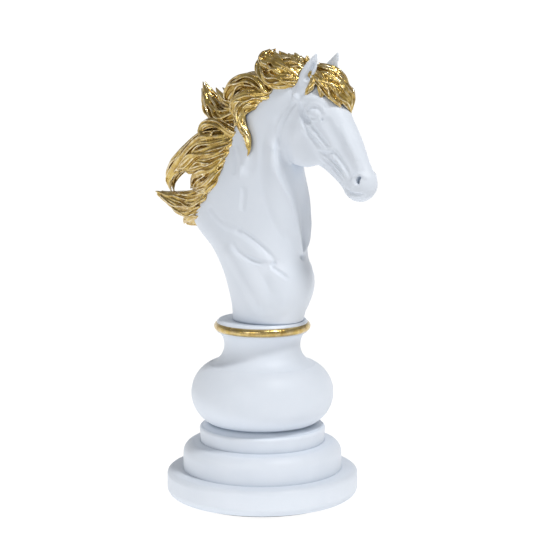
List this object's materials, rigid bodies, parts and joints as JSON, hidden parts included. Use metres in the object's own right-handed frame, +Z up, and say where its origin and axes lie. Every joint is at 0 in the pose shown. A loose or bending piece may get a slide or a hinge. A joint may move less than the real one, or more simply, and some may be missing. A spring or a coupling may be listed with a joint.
{
  "type": "ornamental chess knight",
  "caption": "Oversized knight chess piece: white horse bust with a gilded flowing mane and forelock on a turned, stepped round pedestal with a gilded bead ring.",
  "frame": {"origin": "on the pedestal's axis, at the underside of the felt foot pad", "axes": "+Z up, +X the way the horse's chest faces, +Y to the horse's left"},
  "size_m": [0.1543, 0.1108, 0.2591],
  "materials": {
    "white_resin": "matt painted cast resin",
    "gold_leaf_paint": "glossy antique gold paint over cast resin",
    "zinc_steel": "zinc plated",
    "brass_insert": "machined",
    "beech": "plain beech",
    "fibreboard": "raw fibreboard",
    "felt": "black felt",
    "sand": "dry sand",
    "black_rubber": "moulded rubber"
  },
  "bodies": {
    "body": {"base_nut": "zinc_steel", "base_plate": "fibreboard", "base_screws": "zinc_steel", "base_washer": "zinc_steel", "bulb": "white_resin", "bust": "white_resin", "bust_insert": "brass_insert", "collar": "white_resin", "collar_ring": "gold_leaf_paint", "ear_pins": "zinc_steel", "foot_pad": "felt", "forelock": "gold_leaf_paint", "forelock_pin": "zinc_steel", "left_ear": "white_resin", "locating_dowels": "beech", "lower_step": "white_resin", "mane_curl_lock": "gold_leaf_paint", "mane_lower_lock": "gold_leaf_paint", "mane_pins": "zinc_steel", "mane_poll_lock": "gold_leaf_paint", "mane_side_lock": "gold_leaf_paint", "mane_tail_lock": "gold_leaf_paint", "mane_tip_lock": "gold_leaf_paint", "mane_upper_lock": "gold_leaf_paint", "mane_wing_lock": "gold_leaf_paint", "plinth": "white_resin", "right_ear": "white_resin", "sand_ballast": "sand", "tie_rod": "zinc_steel", "upper_step": "white_resin"},
    "plug": {"fill_plug": "black_rubber"}
  },
  "joints": [
    {"name": "plug_pull", "type": "slide", "parent": "body", "child": "plug", "axis": [0, 0, -1], "range_m": [0, 0.012]}
  ]
}
